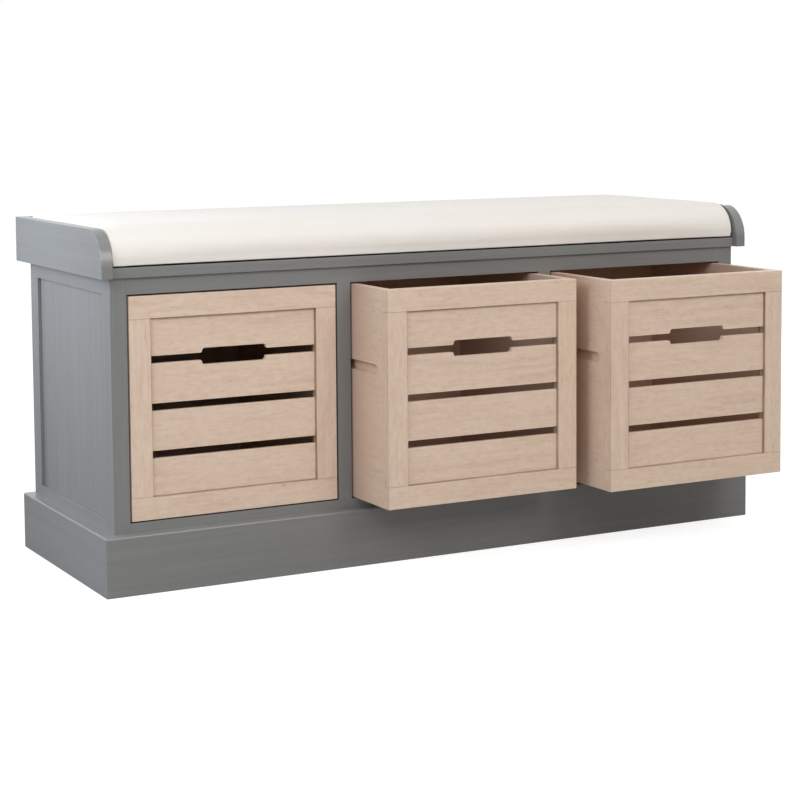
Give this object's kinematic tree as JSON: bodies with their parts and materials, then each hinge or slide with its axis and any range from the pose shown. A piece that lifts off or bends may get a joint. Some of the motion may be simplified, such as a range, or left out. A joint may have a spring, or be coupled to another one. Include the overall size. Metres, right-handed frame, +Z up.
{
  "type": "entryway storage bench",
  "caption": "Low grey painted storage bench with pale slatted drawers on wooden runners, a seat board between raised end boards, and a loose cream seat cushion.",
  "frame": {"origin": "on the floor at the centre of the base, half way between the outer faces of the base boards and half way from the front of the base to the back of the case", "axes": "+X to the right as the bench is faced, the drawers open towards -Y, +Z up. The rest pose has the left drawer shut, the centre drawer 108 mm open and the right drawer 158 mm open"},
  "size_m": [1.07, 0.5195, 0.498],
  "materials": {
    "grey_paint": "washed grey paint over wood grain, satin",
    "grey_inside": "thin grey paint on inside and rear boards, matt",
    "drawer_front": "pale pinkish-beige washed wood with brown glaze in the seams",
    "drawer_box": "smooth pinkish-beige wood, darker inside",
    "runner_wood": "plain waxed hardwood",
    "dowel_wood": "plain beech",
    "screw_steel": "zinc-plated steel",
    "cushion_cover": "off-white woven cotton, fine plain weave",
    "cushion_foam": "pale yellow open-cell foam"
  },
  "bodies": {
    "case": {"base_front_board": "grey_paint", "base_left_board": "grey_paint", "base_right_board": "grey_paint", "base_back_board": "grey_inside", "base_centre_brace": "grey_inside", "bottom_cleats": "grey_inside", "bottom_board": "grey_inside", "front_left_post": "grey_paint", "front_right_post": "grey_paint", "rear_left_post": "grey_paint", "rear_right_post": "grey_paint", "left_side_rails": "grey_paint", "right_side_rails": "grey_paint", "left_side_panel": "grey_paint", "right_side_panel": "grey_paint", "front_top_rail": "grey_paint", "front_bottom_rail": "grey_paint", "front_mid_stiles": "grey_paint", "left_divider": "grey_inside", "right_divider": "grey_inside", "back_panel": "grey_inside", "rear_top_rail": "grey_inside", "outer_runners": "runner_wood", "divider_runners": "runner_wood", "runner_screws": "screw_steel", "seat_board": "grey_paint", "left_end_board": "grey_paint", "right_end_board": "grey_paint", "back_rail": "grey_paint", "seat_dowels": "dowel_wood", "seat_screws": "screw_steel"},
    "cushion": {"cushion_cover": "cushion_cover", "cushion_foam": "cushion_foam"},
    "left_drawer": {"left_drawer_front_top_rail": "drawer_front", "left_drawer_front_bottom_rail": "drawer_front", "left_drawer_front_stiles": "drawer_front", "left_drawer_grip_slats": "drawer_front", "left_drawer_plain_slats": "drawer_front", "left_drawer_left_side": "drawer_box", "left_drawer_right_side": "drawer_box", "left_drawer_back": "drawer_box", "left_drawer_bottom": "drawer_box"},
    "centre_drawer": {"centre_drawer_front_top_rail": "drawer_front", "centre_drawer_front_bottom_rail": "drawer_front", "centre_drawer_front_stiles": "drawer_front", "centre_drawer_grip_slats": "drawer_front", "centre_drawer_plain_slats": "drawer_front", "centre_drawer_left_side": "drawer_box", "centre_drawer_right_side": "drawer_box", "centre_drawer_back": "drawer_box", "centre_drawer_bottom": "drawer_box"},
    "right_drawer": {"right_drawer_front_top_rail": "drawer_front", "right_drawer_front_bottom_rail": "drawer_front", "right_drawer_front_stiles": "drawer_front", "right_drawer_grip_slats": "drawer_front", "right_drawer_plain_slats": "drawer_front", "right_drawer_left_side": "drawer_box", "right_drawer_right_side": "drawer_box", "right_drawer_back": "drawer_box", "right_drawer_bottom": "drawer_box"}
  },
  "joints": [
    {"name": "left_drawer_slide", "type": "slide", "parent": "case", "child": "left_drawer", "axis": [0, -1, 0], "range_m": [0, 0.23]},
    {"name": "centre_drawer_slide", "type": "slide", "parent": "case", "child": "centre_drawer", "axis": [0, -1, 0], "range_m": [-0.108, 0.122]},
    {"name": "right_drawer_slide", "type": "slide", "parent": "case", "child": "right_drawer", "axis": [0, -1, 0], "range_m": [-0.158, 0.072]},
    {"name": "cushion_lift", "type": "slide", "parent": "case", "child": "cushion", "axis": [0, 0, 1], "range_m": [0, 0.08]}
  ]
}
